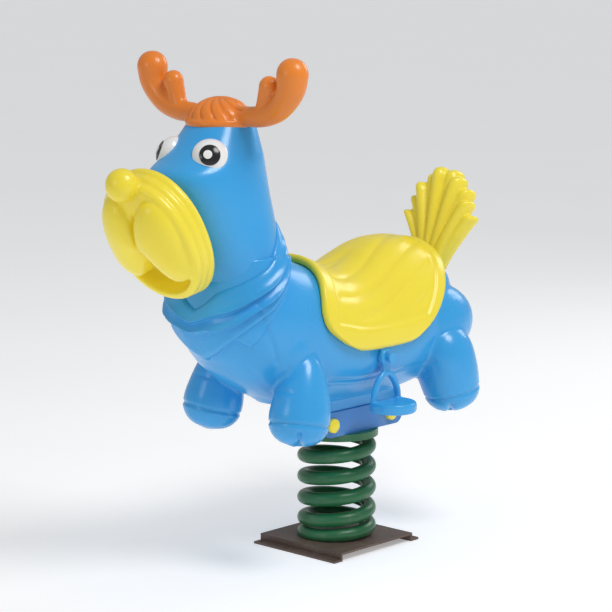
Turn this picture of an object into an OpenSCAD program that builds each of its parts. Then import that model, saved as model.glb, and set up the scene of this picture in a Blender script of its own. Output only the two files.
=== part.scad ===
// Spring rider: a hollow moulded animal on a coil spring and a folded steel base.
// The animal faces -Y, its left side is +X, and the base stands on z = 0.

/* [Base] */
// Width of the base plate along X
base_w = 204; // [180:1:260]
// Length of the raised part of the base plate along Y
base_l = 197; // [180:1:260]
// Height of the base plate's top face above the ground
base_h = 16; // [12:1:30]
// Thickness of the base steel
base_t = 4; // [3:0.5:6]
// Width of each out-turned foot
foot_w = 18; // [16:1:30]
// Diameter of the anchor holes in the feet
anchor_d = 10; // [8:0.5:12]
// Distance of an anchor hole's centre from the end of the foot
anchor_edge = 12; // [9:1:30]

/* [Spring] */
// Outside diameter of the coil
coil_od = 147; // [130:1:160]
// Diameter of the spring wire
wire_d = 26; // [20:0.5:28]
// Height of the coil between its two plates
coil_h = 191; // [170:1:230]
// Number of turns
coil_turns = 5.1; // [4.6:0.1:6]
// Diameter of the round top plate
disc_d = 154; // [150:1:180]
// Thickness of the round top plate
disc_t = 13; // [8:1:16]

/* [Mounting channel] */
// Outside width of the channel under the belly
channel_w = 122; // [110:1:140]
// Length of the channel
channel_l = 212; // [190:1:240]
// Middle of the channel along Y
channel_y = 8; // [0:1:15]
// Height of the channel's sides
channel_h = 46; // [40:1:50]
// Thickness of the channel's steel
channel_t = 4; // [3:0.5:5]
// Distance between the two cross bolts
cross_pitch = 158; // [140:1:170]
// Diameter of a cross bolt
cross_d = 12; // [10:1:14]
// Diameter of a bolt cap
cap_d = 26; // [24:1:30]
// Distance between the plate bolts along X and along Y
plate_bolt_pitch = 52; // [46:1:54]
// Diameter of a plate bolt
plate_bolt_d = 10; // [8:1:12]

/* [Body] */
// Half width of the body at the saddle
body_hw = 122; // [110:1:135]
// Wall of the hollow mouldings
wall = 8; // [6:0.5:10]
// Distance of a foot's centre from the middle of the body
leg_x = 112; // [104:1:120]
// Place of the front feet along Y
leg_front_y = -222; // [-230:1:-205]
// Place of the rear feet along Y
leg_rear_y = 203; // [190:1:212]
// Radius of a leg at the hoof
leg_r = 54; // [48:1:58]
// Lowest point of the legs above the ground
leg_z = 236; // [226:1:250]

/* [Head] */
// Half width of the neck where it enters the collar
neck_r = 97; // [90:1:102]
// Half depth of the neck where it enters the collar
neck_b = 80; // [76:1:84]
// Place of the neck's axis along Y
neck_y = -277; // [-282:1:-272]
// Height of the ledge that the neck stands on
neck_z = 488; // [480:1:500]
// Half width of the muzzle
muzzle_w = 105; // [98:1:115]
// Half height of the muzzle
muzzle_h = 125; // [118:1:132]
// Depth of the muzzle's side
muzzle_d = 70; // [60:1:80]
// Downward tilt of the muzzle in degrees
muzzle_tilt = 23; // [18:1:28]
// Radius of the nose ball
nose_r = 30; // [26:1:34]
// Radius of an eye
eye_r = 30; // [26:1:33]
// Height of the eye's dome over its rim
eye_bulge = 16; // [12:1:20]
// Radius of a pupil
pupil_r = 18; // [14:1:20]

/* [Cap, saddle, tail and stirrups] */
// Distance of an antler tip from the middle
antler_x = 172; // [160:1:190]
// Height of the antler tips' centres
antler_z = 893; // [880:1:910]
// Thickness of the saddle's edge
saddle_t = 8; // [6:1:10]
// Half width of the tail's fan
tail_w = 72; // [60:1:80]
// Height of the tail above its root
tail_h = 195; // [170:1:210]
// Distance of a stirrup's middle from the middle of the body
stirrup_x = 152; // [150:1:165]
// Height of the stirrup's boss above the ground
stirrup_z = 368; // [360:1:376]
// Thickness of the stirrup's foot plate
tread_t = 18; // [14:1:22]

/* [Hidden] */
// Gap between pieces that touch on the real object
gap = 0.5;
// Gap round a bolt
bolt_gap = 0.5;
// Gap between the neck and its socket
neck_gap = 1.5;
// Gap between the saddle and the back
clear = 2;
// Half width that the torso's stations are drawn for
drawn_hw = 122;
coil_r = (coil_od - wire_d) / 2;
coil_z = base_h;
disc_z = coil_z + coil_h;
channel_z = disc_z + disc_t;
// Height of the channel that the animal is drawn for, and how far it rides above that
ride_z = 220;
lift = channel_z - ride_z;
foot_y = base_l / 2 + foot_w / 2;
anchor_x = base_w / 2 - anchor_edge;
cross_z = channel_z + channel_h / 2;
screw_d = 6;
tail_bolt_d = 8;
stirrup_bolt_d = 8;
muzzle_screw_x = 44;
muzzle_screw_v = 64;
eye_ball = (eye_r * eye_r + eye_bulge * eye_bulge) / (2 * eye_bulge);
eye_depth = 14;
pupil_turn = 12;
keel_z = ride_z + channel_t + gap;
keel_hw = channel_w / 2 - channel_t - gap;
leg_top_z = leg_z + leg_r + 78;
eps = 0.01;
green = "#1f6b3a";
blue = "#3ea2e0";
yellow = "#f5e23e";
orange = "#e6832f";
steel = "#b9bcc0";

// Stations of the torso along Y: the top line, the belly line and the half width.
torso_y0 = -368;
torso_y1 = 290;
torso_top = [[-368, 480], [-360, 500], [-340, 545], [-290, 572], [-230, 556], [-170, 532],
    [-60, 516], [40, 522], [120, 534], [180, 528], [230, 507], [265, 478], [290, 425]];
torso_low = [[-368, 446], [-360, 424], [-340, 396], [-290, 360], [-230, 322], [-170, 290],
    [-110, 278], [60, 276], [120, 281], [180, 296], [230, 322], [265, 352], [290, 400]];
torso_half = [[-368, 30], [-360, 56], [-340, 88], [-290, 110], [-230, 117], [-170, 120],
    [-60, 121], [40, 122], [120, 125], [180, 124], [230, 110], [265, 84], [290, 15]];
// Stations of the head along Z: its front, its back and its half width.
head_z1 = 803;
head_front = [[430, neck_y - neck_b], [530, neck_y - neck_b - 6], [565, -384], [600, -403], [640, -421],
    [680, -438], [712, -448], [728, -440], [745, -404], [770, -378], [803, -353]];
head_back = [[430, neck_y + neck_b], [560, neck_y + neck_b], [600, -198], [640, -203],
    [680, -213], [712, -217], [745, -225], [770, -233], [803, -241]];
head_half = [[430, neck_r], [560, neck_r], [600, 95], [640, 92], [680, 88],
    [712, 85], [745, 79], [770, 70], [803, 57]];
// Stations of the saddle along Y: its top line and how far it reaches round the body.
saddle_y0 = -160;
saddle_y1 = 214;
saddle_top = [[-160, 575], [-130, 558], [-95, 543], [-40, 532], [7, 541], [43, 555], [79, 567],
    [131, 573], [173, 563], [214, 536]];
saddle_reach = [[-160, 38], [-140, 60], [-110, 78], [-60, 90], [40, 90], [90, 84], [140, 66],
    [180, 48], [214, 20]];

// The average of a station list round a place, which rounds its corners.
function smooth(u, list, d = 12) =
    (lookup(u - d, list) + 2 * lookup(u, list) + lookup(u + d, list)) / 4;
// A point of a rounded outline: a power below 1 squares it and 1 leaves it an ellipse.
function bulge(v, power) = sign(v) * pow(abs(v), power);
// Side faces between rings of equal length, and a cap at each end.
function skin_faces(rings, sides, folded) = concat(
    [for (i = [0:rings - 2]) for (j = [0:sides - 1])
        [i * sides + j, i * sides + (j + 1) % sides, (i + 1) * sides + (j + 1) % sides]],
    [for (i = [0:rings - 2]) for (j = [0:sides - 1])
        [i * sides + j, (i + 1) * sides + (j + 1) % sides, (i + 1) * sides + j]],
    folded
        ? [for (end = [0, 1]) for (j = [0:sides / 2 - 2])
            let (a = end * (rings - 1) * sides, near = [a + j, a + j + 1],
                far = [a + sides - 1 - j, a + sides - 2 - j])
            end == 0 ? [near[1], near[0], far[0], far[1]] : [near[0], near[1], far[1], far[0]]]
        : [[for (j = [sides - 1:-1:0]) j], [for (j = [0:sides - 1]) (rings - 1) * sides + j]]);

// A closed solid through rings of equal length, listed so that its faces point outwards.
// A folded ring runs along the outside of a thin shell and back along its inside.
module skin(rings, folded = false) {
    sides = len(rings[0]);
    polyhedron([for (r = rings) for (p = r) p],
        [for (f = skin_faces(len(rings), sides, folded)) [for (k = [len(f) - 1:-1:0]) f[k]]]);
}

function torso_point(y, a, grow) =
    let (top = smooth(y, torso_top) + grow, low = smooth(y, torso_low) - grow,
        half = smooth(y, torso_half) * body_hw / drawn_hw + grow)
    [half * bulge(sin(a), 0.86), y, (top + low) / 2 + (top - low) / 2 * bulge(cos(a), 0.86)];

// The torso as one closed form, shrunk or grown all round.
module torso(grow = 0, stations = 22, sides = 28) {
    y0 = torso_y0 - grow;
    y1 = torso_y1 + grow;
    skin([for (i = [0:stations - 1])
        let (u = (1 - cos(180 * i / (stations - 1))) / 2, y = y0 + (y1 - y0) * u)
        [for (j = [0:sides - 1]) torso_point(y, 360 * j / sides, grow)]]);
}

// A stubby leg: a rounded hoof, a thigh and a shoulder inside the torso.
module leg(side, y, thigh_y, grow = 0) {
    hull() {
        translate([side * leg_x, y, leg_z + leg_r])
            sphere(r = leg_r + grow, $fn = 20);
        translate([side * (leg_x - 14), y + (thigh_y - y) * 0.6, leg_z + leg_r + 46])
            sphere(r = leg_r - 2 + grow, $fn = 20);
    }
    hull() {
        translate([side * (leg_x - 14), y + (thigh_y - y) * 0.6, leg_z + leg_r + 46])
            sphere(r = leg_r - 2 + grow, $fn = 20);
        translate([side * (leg_x - 44), thigh_y, leg_top_z])
            sphere(r = leg_r + grow, $fn = 20);
    }
}

module legs(grow = 0) {
    for (side = [-1, 1]) {
        leg(side, leg_front_y, leg_front_y + 32, grow);
        leg(side, leg_rear_y, leg_rear_y - 18, grow);
    }
}

// The head and neck between two heights, shrunk or grown all round.
module head_form(z0, z1, grow = 0, rings = 16, sides = 24) {
    skin([for (i = [0:rings - 1])
        let (z = z0 + (z1 - z0) * i / (rings - 1), zz = min(z, head_z1),
            front = smooth(zz, head_front, 5) - grow, back = smooth(zz, head_back, 5) + grow,
            half = smooth(zz, head_half, 5) + grow)
        [for (j = [0:sides - 1])
            let (a = 360 * j / sides)
            [half * bulge(cos(a), 0.9), (front + back) / 2 + (back - front) / 2 * sin(a), z]]]);
}

// An oval slice of the collar, as wide and deep as the neck and a margin.
module collar_slice(y, z, lean, margin, h) {
    translate([0, y, z])
        rotate([lean, 0, 0])
            scale([1, (neck_b + margin) / (neck_r + margin), 1])
                cylinder(r = neck_r + margin, h = h, $fn = 28);
}

// The neckerchief collar that is moulded on the body round the neck, with a front point.
module scarf() {
    hull() {
        collar_slice(neck_y + 15, 602, 18, -9, 8);
        collar_slice(neck_y, 530, 12, 14, 16);
    }
    hull() {
        collar_slice(neck_y, 530, 12, 14, 16);
        collar_slice(neck_y + 3, 470, 0, 6, 10);
        translate([0, neck_y - 48, 402])
            sphere(r = 14, $fn = 12);
    }
}

module base_plate() {
    color("#4a3a30")
        difference() {
            union() {
                translate([-base_w / 2, -base_l / 2, base_h - base_t])
                    cube([base_w, base_l, base_t]);
                for (side = [-1, 1]) {
                    translate([-base_w / 2, side * (base_l / 2 - base_t / 2) - base_t / 2, 0])
                        cube([base_w, base_t, base_h]);
                    translate([-base_w / 2, side * foot_y - foot_w / 2 - side * eps, 0])
                        cube([base_w, foot_w, base_t]);
                }
            }
            for (x = [-1, 1]) for (y = [-1, 1])
                translate([x * anchor_x, y * foot_y, -1])
                    cylinder(d = anchor_d, h = base_t + 2, $fn = 32);
        }
}

// Height of the wire's centre above the base plate after a number of turns: the first turn
// is closed, so it rises one wire per turn, and its bottom is ground flat.
function coil_rise(t) =
    let (open_turns = coil_turns - 1.6, slack = coil_h - 8 - wire_d * coil_turns)
    4 + wire_d * t + slack / open_turns * (ease(t - 1) - ease(t - 1 - open_turns));
function ease(v) = (v + sqrt(v * v + 0.06)) / 2;

module coil(from, to, rings_per_turn = 20, sides = 10) {
    rings = ceil((to - from) * rings_per_turn) + 1;
    intersection() {
        skin([for (i = [0:rings - 1])
            let (t = from + (to - from) * i / (rings - 1), a = 222.5 + 360 * t)
            [for (j = [0:sides - 1])
                let (b = -360 * (j + 0.5) / sides, r = coil_r + wire_d / 2 * cos(b))
                [r * cos(a), r * sin(a), coil_z + coil_rise(t) + wire_d / 2 * sin(b)]]]);
        translate([-coil_od, -coil_od, coil_z + gap / 2])
            cube([2 * coil_od, 2 * coil_od, coil_h - gap]);
    }
}

module spring_lower() {
    color(green)
        coil(0, coil_turns / 3);
}

module spring_middle() {
    color(green)
        coil(coil_turns / 3, coil_turns * 2 / 3);
}

module spring_upper() {
    color(green)
        coil(coil_turns * 2 / 3, coil_turns);
}

module plate_bolt_places() {
    for (x = [-0.5, 0.5]) for (y = [-0.5, 0.5])
        translate([x * plate_bolt_pitch, y * plate_bolt_pitch, 0])
            children();
}

module top_plate() {
    color(green)
        difference() {
            translate([0, 0, disc_z])
                cylinder(d = disc_d, h = disc_t, $fn = 64);
            plate_bolt_places()
                translate([0, 0, disc_z - 1])
                    cylinder(d = plate_bolt_d + 2 * bolt_gap, h = disc_t + 2, $fn = 32);
        }
}

// The side outline of the channel, with its lower corners rounded.
module channel_side(t) {
    r = 18;
    rotate([90, 0, 90])
        linear_extrude(t)
            hull() {
                for (s = [-1, 1])
                    translate([channel_y + s * (channel_l / 2 - r), channel_z + r])
                        circle(r = r, $fn = 32);
                for (s = [-1, 1])
                    translate([channel_y + s * (channel_l / 2 - 2), channel_z + channel_h - 2])
                        circle(r = 2, $fn = 16);
            }
}

module mount_channel() {
    color(blue)
        difference() {
            union() {
                translate([-channel_w / 2, 0, 0])
                    channel_side(channel_t);
                translate([channel_w / 2 - channel_t, 0, 0])
                    channel_side(channel_t);
                translate([-channel_w / 2, channel_y - channel_l / 2 + 18, channel_z])
                    cube([channel_w, channel_l - 36, channel_t]);
            }
            for (s = [-0.5, 0.5])
                translate([-channel_w, s * cross_pitch, cross_z])
                    rotate([0, 90, 0])
                        cylinder(d = cross_d + 2 * bolt_gap, h = 2 * channel_w, $fn = 32);
            plate_bolt_places()
                translate([0, 0, channel_z - 1])
                    cylinder(d = plate_bolt_d + 2 * bolt_gap, h = channel_t + 2, $fn = 32);
        }
}

// Hexagon bolts, heads down, through the top plate and the channel's floor.
module plate_bolts() {
    color(steel)
        plate_bolt_places() {
            translate([0, 0, disc_z - gap - plate_bolt_d * 0.65])
                cylinder(d = plate_bolt_d * 1.9, h = plate_bolt_d * 0.65, $fn = 6);
            translate([0, 0, disc_z - gap - eps])
                cylinder(d = plate_bolt_d, h = disc_t + channel_t + 11 + gap, $fn = 32);
        }
}

module plate_nuts() {
    color(steel)
        plate_bolt_places()
            translate([0, 0, channel_z + channel_t + 0.3])
                difference() {
                    cylinder(d = plate_bolt_d * 1.9, h = 8, $fn = 6);
                    translate([0, 0, -1])
                        cylinder(d = plate_bolt_d + 0.3, h = 10, $fn = 32);
                }
}

// Bolts that cross the channel and the body's keel.
module cross_bolts() {
    color(steel)
        for (s = [-0.5, 0.5])
            translate([0, s * cross_pitch, cross_z])
                rotate([0, 90, 0]) {
                    translate([0, 0, -channel_w / 2 - 8])
                        cylinder(d = cross_d * 1.6, h = 7.7, $fn = 6);
                    translate([0, 0, -channel_w / 2 - 1])
                        cylinder(d = cross_d, h = channel_w + 8, $fn = 32);
                }
}

module cross_nuts() {
    color(steel)
        for (s = [-0.5, 0.5])
            translate([channel_w / 2 + 0.3, s * cross_pitch, cross_z])
                rotate([0, 90, 0])
                    difference() {
                        cylinder(d = cross_d * 1.6, h = 7, $fn = 6);
                        translate([0, 0, -1])
                            cylinder(d = cross_d + 0.3, h = 9, $fn = 32);
                    }
}

// Snap-on domes over the ends of the cross bolts.
module bolt_caps() {
    height = 12;
    color(yellow)
        for (side = [-1, 1]) for (s = [-0.5, 0.5])
            translate([side * (channel_w / 2 + 0.3), s * cross_pitch, cross_z])
                rotate([0, side * 90, 0])
                    difference() {
                        rotate_extrude($fn = 48)
                            intersection() {
                                translate([0, height - cap_d * 0.75])
                                    circle(r = cap_d * 0.75, $fn = 96);
                                square([cap_d / 2, height]);
                            }
                        translate([0, 0, -1])
                            cylinder(d = cap_d - 5, h = 9.4, $fn = 32);
                    }
}

// The body: a hollow moulding with its legs and collar, open where the neck goes in.
module body_shell() {
    keel_l = channel_l - 4;
    color(blue)
        difference() {
            union() {
                torso();
                legs();
                scarf();
                hull() for (s = [-1, 1]) for (x = [-1, 1]) {
                    translate([x * (keel_hw - 6), channel_y + s * (keel_l / 2 - 26), keel_z + 16])
                        rotate([0, 90, 0])
                            cylinder(r = 6, h = 12, center = true, $fn = 16);
                    translate([x * (keel_hw - 6), channel_y + s * (keel_l / 2 - 6), keel_z + 70])
                        cylinder(r = 6, h = 6, $fn = 16);
                }
            }
            head_form(neck_z, 700, neck_gap);
            difference() {
                torso(-wall);
                collar_slice(neck_y, neck_z - 12, 0, 14, 200);
            }
            legs(-wall);
            collar_slice(neck_y, neck_z - 40, 0, -22, 50);
            neck_screw_places()
                cylinder(d = screw_d + 1, h = 60, $fn = 16);
            translate([0, 0, -30])
                saddle_screw_places()
                    cylinder(d = screw_d + 2, h = 60, $fn = 16);
            tail_bolt_place()
                cylinder(d = tail_bolt_d + 1, h = 60, $fn = 16);
            stirrup_bolt_places()
                cylinder(d = stirrup_bolt_d + 1, h = 60, $fn = 16);
            for (s = [-0.5, 0.5])
                translate([-channel_w, s * cross_pitch, cross_z - lift])
                    rotate([0, 90, 0])
                        cylinder(d = cross_d + 2 * bolt_gap, h = 2 * channel_w, $fn = 24);
            plate_bolt_places()
                translate([0, 0, keel_z - 1])
                    cylinder(d = plate_bolt_d * 1.9 + 4, h = 22, $fn = 16);
        }
}

// Everything in front of the flat seat that the muzzle is screwed to.
module muzzle_side(back) {
    translate(muzzle_place)
        rotate([muzzle_tilt, 0, 0])
            translate([-200, -400 + back, -300])
                cube([400, 400, 600]);
}

// The head and neck: a hollow moulding, open at the bottom of the neck.
module head_shell() {
    color(blue)
        difference() {
            head_form(neck_z + gap, head_z1);
            muzzle_side(gap);
            difference() {
                head_form(neck_z - 4, head_z1 - wall, -wall, 14);
                muzzle_side(wall + gap);
            }
            neck_screw_places()
                cylinder(d = screw_d + 1, h = 60, $fn = 24);
            muzzle_screw_places()
                cylinder(d = screw_d + 1, h = 40, $fn = 24);
            cap_screw_places()
                cylinder(d = screw_d + 1, h = 40, $fn = 24);
            for (side = [-1, 1])
                eye_frame(side)
                    translate([0, 0, -eye_depth - 20])
                        cylinder(r = eye_r + gap, h = eye_depth + 60, $fn = 48);
        }
}

module neck_screw_places() {
    for (side = [-1, 1]) for (dy = [-25, 25])
        translate([side * (neck_r - 14), neck_y + dy, neck_z + 24])
            rotate([0, side * 90, 0])
                children();
}

// Screws through the collar into the neck.
module head_screws() {
    color(steel)
        neck_screw_places()
            cylinder(d = screw_d, h = 24, $fn = 24);
}

// A ring of the muzzle: how far it stands in front of the back plane, and its scale.
module muzzle_form(stations, grow) {
    sides = 28;
    skin([for (s = stations)
        [for (j = [0:sides - 1])
            let (a = 360 * j / sides,
                x = (muzzle_w * s[1] + grow) * bulge(cos(a), 0.92),
                v = (muzzle_h * s[1] + grow) * bulge(sin(a), 0.92))
            [x, -s[0], v]]]);
}

muzzle_place = [0, -425, 625];
// The muzzle: a hollow cup that fits over the front of the head, with the nose ball.
module muzzle() {
    front = muzzle_d + 27;
    color(yellow)
        translate(muzzle_place)
            rotate([muzzle_tilt, 0, 0]) {
                difference() {
                    union() {
                        muzzle_form([[0, 0.93], [4, 0.98], [14, 1], [45, 1],
                            [muzzle_d - 8, 0.97], [muzzle_d + 6, 0.88],
                            [muzzle_d + 18, 0.7], [front - 2, 0.4], [front, 0.12]], 0);
                        translate([0, 9 - muzzle_d, muzzle_h - 10])
                            sphere(r = nose_r, $fn = 32);
                    }
                    muzzle_form([[-1, 0.6], [wall, 0.6], [wall + 1, 0.93], [16, 1], [45, 1],
                        [muzzle_d - 14, 0.95], [muzzle_d - 2, 0.84], [muzzle_d + 8, 0.68],
                        [front - 12, 0.38], [front - 10, 0.14]], -wall);
                    for (x = [-1, 1]) for (v = [-1, 1])
                        translate([x * muzzle_screw_x, 1, v * muzzle_screw_v])
                            rotate([90, 0, 0])
                                cylinder(d = screw_d + 1, h = wall + 2, $fn = 24);
                }
            }
}

module muzzle_screw_places() {
    translate(muzzle_place)
        rotate([muzzle_tilt, 0, 0])
            for (x = [-1, 1]) for (v = [-1, 1])
                translate([x * muzzle_screw_x, wall + 6, v * muzzle_screw_v])
                    rotate([90, 0, 0])
                        children();
}

// Screws from inside the head, through its flat seat, into the back of the muzzle.
module muzzle_screws() {
    color(steel)
        muzzle_screw_places()
            cylinder(d = screw_d, h = 2 * wall + 5, $fn = 24);
}

// The direction that an eye looks in, and its place.
eye_place = [52, -374, 756];
eye_turn = [58, 0, 44];
module eye_frame(side) {
    mirror([side < 0 ? 1 : 0, 0, 0])
        translate(eye_place)
            rotate(eye_turn)
                children();
}

// Domed eye white with a skirt that snaps into its socket.
module eye(side) {
    color("white")
        eye_frame(side)
            rotate_extrude($fn = 48)
                intersection() {
                    union() {
                        translate([0, eye_bulge - eye_ball])
                            circle(r = eye_ball, $fn = 96);
                        translate([0, -eye_depth])
                            square([eye_r, eye_depth]);
                    }
                    translate([0, -eye_depth])
                        square([eye_r, eye_depth + eye_bulge]);
                }
}

// A thin lens that lies on the eye's dome, turned up towards the brow.
module lens(side, r, lift, t, turn, across) {
    eye_frame(side)
        translate([0, 0, eye_bulge - eye_ball])
            rotate([turn, across, 0])
                rotate_extrude($fn = 40)
                    intersection() {
                        difference() {
                            circle(r = eye_ball + lift + t, $fn = 96);
                            circle(r = eye_ball + lift, $fn = 96);
                        }
                        square([r, 2 * eye_ball]);
                    }
}

module eye_left() {
    eye(1);
}

module eye_right() {
    eye(-1);
}

module pupil_left() {
    color("#111111")
        lens(1, pupil_r, 0.15, 1, pupil_turn, 0);
}

module pupil_right() {
    color("#111111")
        lens(-1, pupil_r, 0.15, 1, pupil_turn, 0);
}

module glint_left() {
    color("white")
        lens(1, pupil_r * 0.42, 1.3, 0.8, pupil_turn, -5);
}

module glint_right() {
    color("white")
        lens(-1, pupil_r * 0.42, 1.3, 0.8, pupil_turn, -5);
}

// Points of an antler's beam and tine, with the radius at each.
cap_y = -297;
beam = [[40, 812, 20], [88, 814, 20], [122, 822, 21], [146, 840, 23], [164, 864, 26],
    [antler_x, antler_z, 29]];
tine = [[108, 824, 18], [113, 850, 18], [120, antler_z - 15, 20]];

module limb(points) {
    for (i = [0:len(points) - 2])
        hull() for (k = [i, i + 1])
            translate([points[k][0], cap_y, points[k][1]])
                scale([1, 0.9, 1])
                    sphere(r = points[k][2], $fn = 16);
}

// The cap with its brim, tuft and pair of antlers, in one moulding.
module antler_cap() {
    brim_z = head_z1 + gap;
    color(orange)
        difference() {
            union() {
                translate([0, cap_y, brim_z])
                    cylinder(r1 = 60, r2 = 57, h = 12, $fn = 28);
                hull() {
                    translate([0, cap_y, brim_z + 11])
                        cylinder(r = 56, h = 2, $fn = 28);
                    translate([0, cap_y, brim_z + 36])
                        cylinder(r = 40, h = 2, $fn = 28);
                    translate([0, cap_y, brim_z + 48])
                        cylinder(r = 18, h = 3, $fn = 28);
                }
                for (side = [0, 1])
                    mirror([side, 0, 0]) {
                        limb(beam);
                        limb(tine);
                    }
            }
            cap_screw_places()
                cylinder(d = screw_d + 1, h = 34, $fn = 16);
            translate([0, cap_y, 0])
                cylinder(r = 100, h = brim_z);
        }
}

module cap_screw_places() {
    for (side = [-1, 1])
        translate([side * 25, cap_y, head_z1 - 18])
            children();
}

// Screws up through the top of the head into the cap.
module antler_screws() {
    color(steel)
        cap_screw_places()
            cylinder(d = screw_d, h = 32, $fn = 24);
}

// The saddle: a shell over the back, high behind, that drapes down both sides.
module saddle() {
    stations = 20;
    half = 11;
    color(yellow)
        difference() {
            skin([for (i = [0:stations - 1])
                let (y = saddle_y0 + (saddle_y1 - saddle_y0) * i / (stations - 1),
                    reach = smooth(y, saddle_reach, 8), top = smooth(y, saddle_top, 8),
                    crown = top - torso_point(y, 0, saddle_t + clear)[2])
                concat(
                    [for (j = [-half:half])
                        let (a = reach * j / half, p = torso_point(y, a, saddle_t + clear))
                        [p[0], y, p[2] + max(crown * pow(cos(a), 2), 0)]],
                    [for (j = [half:-1:-half]) torso_point(y, reach * j / half, clear)])], true);
            saddle_screw_places()
                cylinder(d = screw_d + 1, h = 27.5, $fn = 24);
        }
}

module saddle_screw_places() {
    for (y = [-70, 110])
        translate([0, y, smooth(y, torso_top) - 20])
            children();
}

module saddle_screws() {
    color(steel)
        saddle_screw_places()
            cylinder(d = screw_d, h = 27, $fn = 24);
}

// The tail: a fan of rounded strands that lean back from a root on the rump.
tail_place = [0, 274, 500];
tail_lean = -17;
module tail() {
    strands = 7;
    color(yellow)
        difference() {
            translate(tail_place)
                rotate([tail_lean, 0, 0])
                    for (i = [0:strands - 1]) {
                        u = (i - (strands - 1) / 2) / ((strands - 1) / 2);
                        top = tail_h * (1 - 0.42 * u * u) - 20;
                        hull() {
                            translate([u * 12, 0, 10])
                                scale([1, 1.2, 1])
                                    sphere(r = 20, $fn = 12);
                            translate([u * tail_w * 0.7, 0, top * 0.55])
                                scale([0.9, 1.6, 1])
                                    sphere(r = 17, $fn = 12);
                        }
                        hull() {
                            translate([u * tail_w * 0.7, 0, top * 0.55])
                                scale([0.9, 1.6, 1])
                                    sphere(r = 17, $fn = 12);
                            translate([u * tail_w, 0, top])
                                scale([0.9, 1.3, 1])
                                    sphere(r = 16, $fn = 12);
                        }
                    }
            tail_bolt_place()
                cylinder(d = tail_bolt_d + 1, h = 39, $fn = 16);
            torso(gap);
        }
}

module tail_bolt_place() {
    translate([0, tail_place[1] - 46, tail_place[2] - 14])
        rotate([-90, 0, 0])
            children();
}

// A bolt from inside the rump into the tail's root.
module tail_bolt() {
    color(steel)
        tail_bolt_place()
            cylinder(d = tail_bolt_d, h = 38, $fn = 24);
}

// A stirrup: a strap with a boss, an arch and a foot plate, bolted to the body's side.
module stirrup(side) {
    x0 = body_hw + 2;
    tread_z = 270;
    color(blue)
        mirror([side < 0 ? 1 : 0, 0, 0])
            difference() {
                union() {
                    translate([x0, -5, stirrup_z])
                        rotate([0, 90, 0])
                            cylinder(r = 15, h = 12, $fn = 48);
                    translate([x0, -18, stirrup_z])
                        cube([8, 26, 25]);
                    translate([x0, -5, 312])
                        rotate([0, 90, 0])
                            difference() {
                                union() {
                                    cylinder(r = 34, h = 12, $fn = 48);
                                    translate([0, -34, 0])
                                        cube([30, 68, 12]);
                                    translate([-56, -9, 0])
                                        cube([30, 18, 10]);
                                }
                                translate([0, 0, -1])
                                    cylinder(r = 20, h = 14, $fn = 48);
                                translate([0, -20, -1])
                                    cube([24, 40, 14]);
                            }
                    translate([0, -5, tread_z])
                        linear_extrude(tread_t)
                            hull() {
                                translate([x0, -44])
                                    square([10, 88]);
                                translate([stirrup_x, 0])
                                    circle(r = 34, $fn = 48);
                            }
                }
                translate([x0 - 1, -5, stirrup_z])
                    rotate([0, 90, 0])
                        cylinder(d = stirrup_bolt_d + 1, h = 20, $fn = 32);
            }
}

module stirrup_left() {
    stirrup(1);
}

module stirrup_right() {
    stirrup(-1);
}

module stirrup_bolt_places() {
    for (side = [-1, 1])
        translate([side * (body_hw - 22), -5, stirrup_z])
            rotate([0, side * 90, 0])
                children();
}

module stirrup_bolts() {
    color(steel)
        stirrup_bolt_places() {
            cylinder(d = stirrup_bolt_d, h = 37, $fn = 32);
            translate([0, 0, 36.3])
                cylinder(d = 18, h = 5, $fn = 32);
        }
}

module stirrup_nuts() {
    color(steel)
        stirrup_bolt_places()
            translate([0, 0, 1])
                difference() {
                    cylinder(d = 15, h = 7, $fn = 6);
                    translate([0, 0, -1])
                        cylinder(d = stirrup_bolt_d + 0.3, h = 9, $fn = 32);
                }
}

base_plate();
spring_lower();
spring_middle();
spring_upper();
top_plate();
mount_channel();
plate_bolts();
plate_nuts();
cross_bolts();
cross_nuts();
bolt_caps();
translate([0, 0, lift]) body_shell();
translate([0, 0, lift]) head_shell();
translate([0, 0, lift]) head_screws();
translate([0, 0, lift]) muzzle();
translate([0, 0, lift]) muzzle_screws();
translate([0, 0, lift]) eye_left();
translate([0, 0, lift]) eye_right();
translate([0, 0, lift]) pupil_left();
translate([0, 0, lift]) pupil_right();
translate([0, 0, lift]) glint_left();
translate([0, 0, lift]) glint_right();
translate([0, 0, lift]) antler_cap();
translate([0, 0, lift]) antler_screws();
translate([0, 0, lift]) saddle();
translate([0, 0, lift]) saddle_screws();
translate([0, 0, lift]) tail();
translate([0, 0, lift]) tail_bolt();
translate([0, 0, lift]) stirrup_left();
translate([0, 0, lift]) stirrup_right();
translate([0, 0, lift]) stirrup_bolts();
translate([0, 0, lift]) stirrup_nuts();
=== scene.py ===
import math

import bmesh
import bpy
from mathutils import Matrix, Vector
from mathutils.bvhtree import BVHTree


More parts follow.
